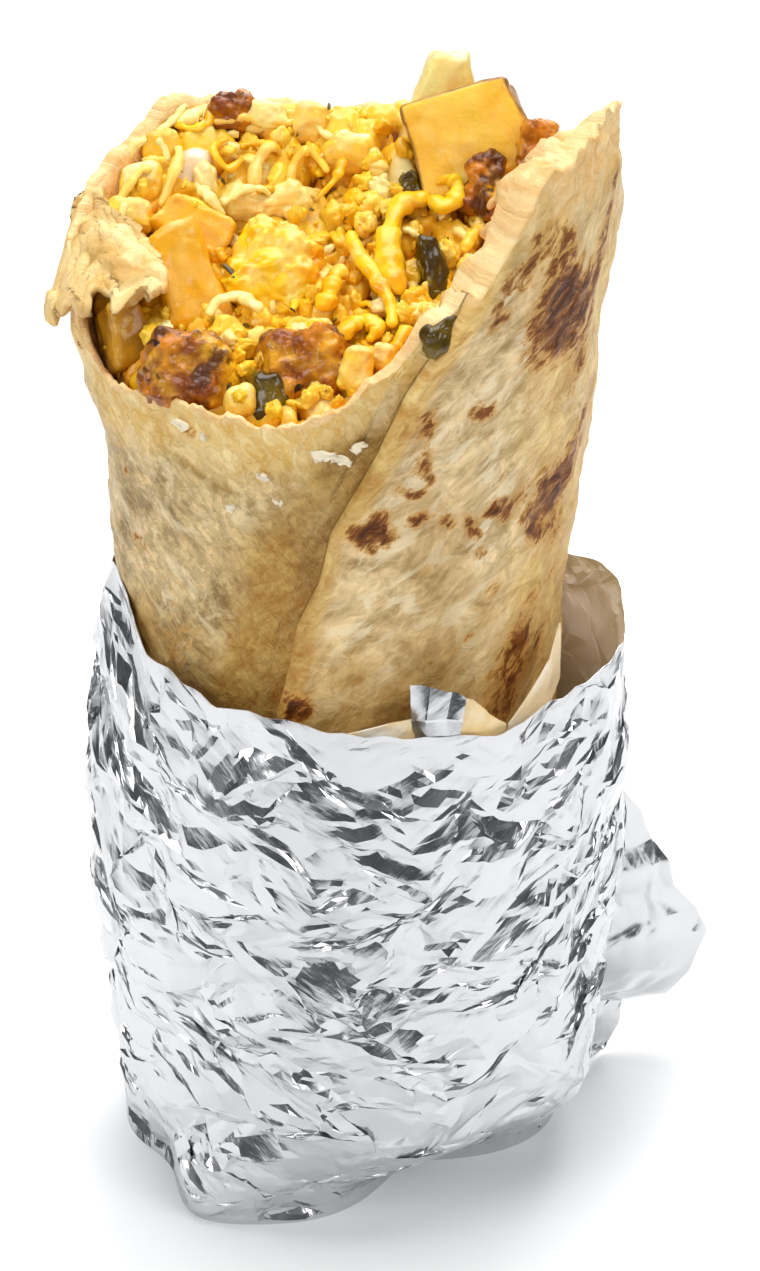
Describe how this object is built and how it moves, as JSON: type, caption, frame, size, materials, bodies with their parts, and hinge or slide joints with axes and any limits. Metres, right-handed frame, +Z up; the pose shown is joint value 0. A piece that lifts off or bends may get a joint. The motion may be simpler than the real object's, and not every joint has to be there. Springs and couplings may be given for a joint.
{
  "type": "wrapped breakfast burrito",
  "caption": "Bitten breakfast burrito standing in crumpled foil, with egg, melted cheese, potato and pepper showing at its open top.",
  "frame": {"origin": "on the surface it stands on, under the middle of the roll", "axes": "+Z up along the roll to its bitten mouth, -Y the front, where the tortilla's free edge runs down"},
  "size_m": [0.1038, 0.0772, 0.1808],
  "materials": {
    "tortilla": "soft, floury, mottled cream with toasted spots",
    "foil": "bright crumpled kitchen foil",
    "egg_cheese": "moist scrambled egg with melted cheese",
    "potato": "moist cooked potato, golden, with browned edges",
    "browned": "caramelised, glossy and crisp",
    "melted_cheese": "melted cheese, glossy",
    "onion": "soft cooked onion, translucent",
    "pepper": "cooked green pepper skin"
  },
  "bodies": {
    "root": {"tortilla": "tortilla", "foil_wrap": "foil", "egg_cheese_filling": "egg_cheese", "potato_1": "potato", "potato_2": "potato", "potato_3": "potato", "potato_4": "potato", "potato_5": "potato", "potato_6": "potato", "potato_7": "potato", "potato_8": "potato", "potato_9": "potato", "potato_10": "potato", "potato_11": "potato", "potato_12": "potato", "potato_13": "potato", "potato_14": "potato", "potato_15": "potato", "browned_1": "browned", "browned_2": "browned", "browned_3": "browned", "browned_4": "browned", "browned_5": "browned", "melted_cheese_1": "melted_cheese", "melted_cheese_2": "melted_cheese", "onion_1": "onion", "pepper_1": "pepper", "pepper_2": "pepper", "pepper_3": "pepper", "pepper_4": "pepper"}
  },
  "joints": []
}
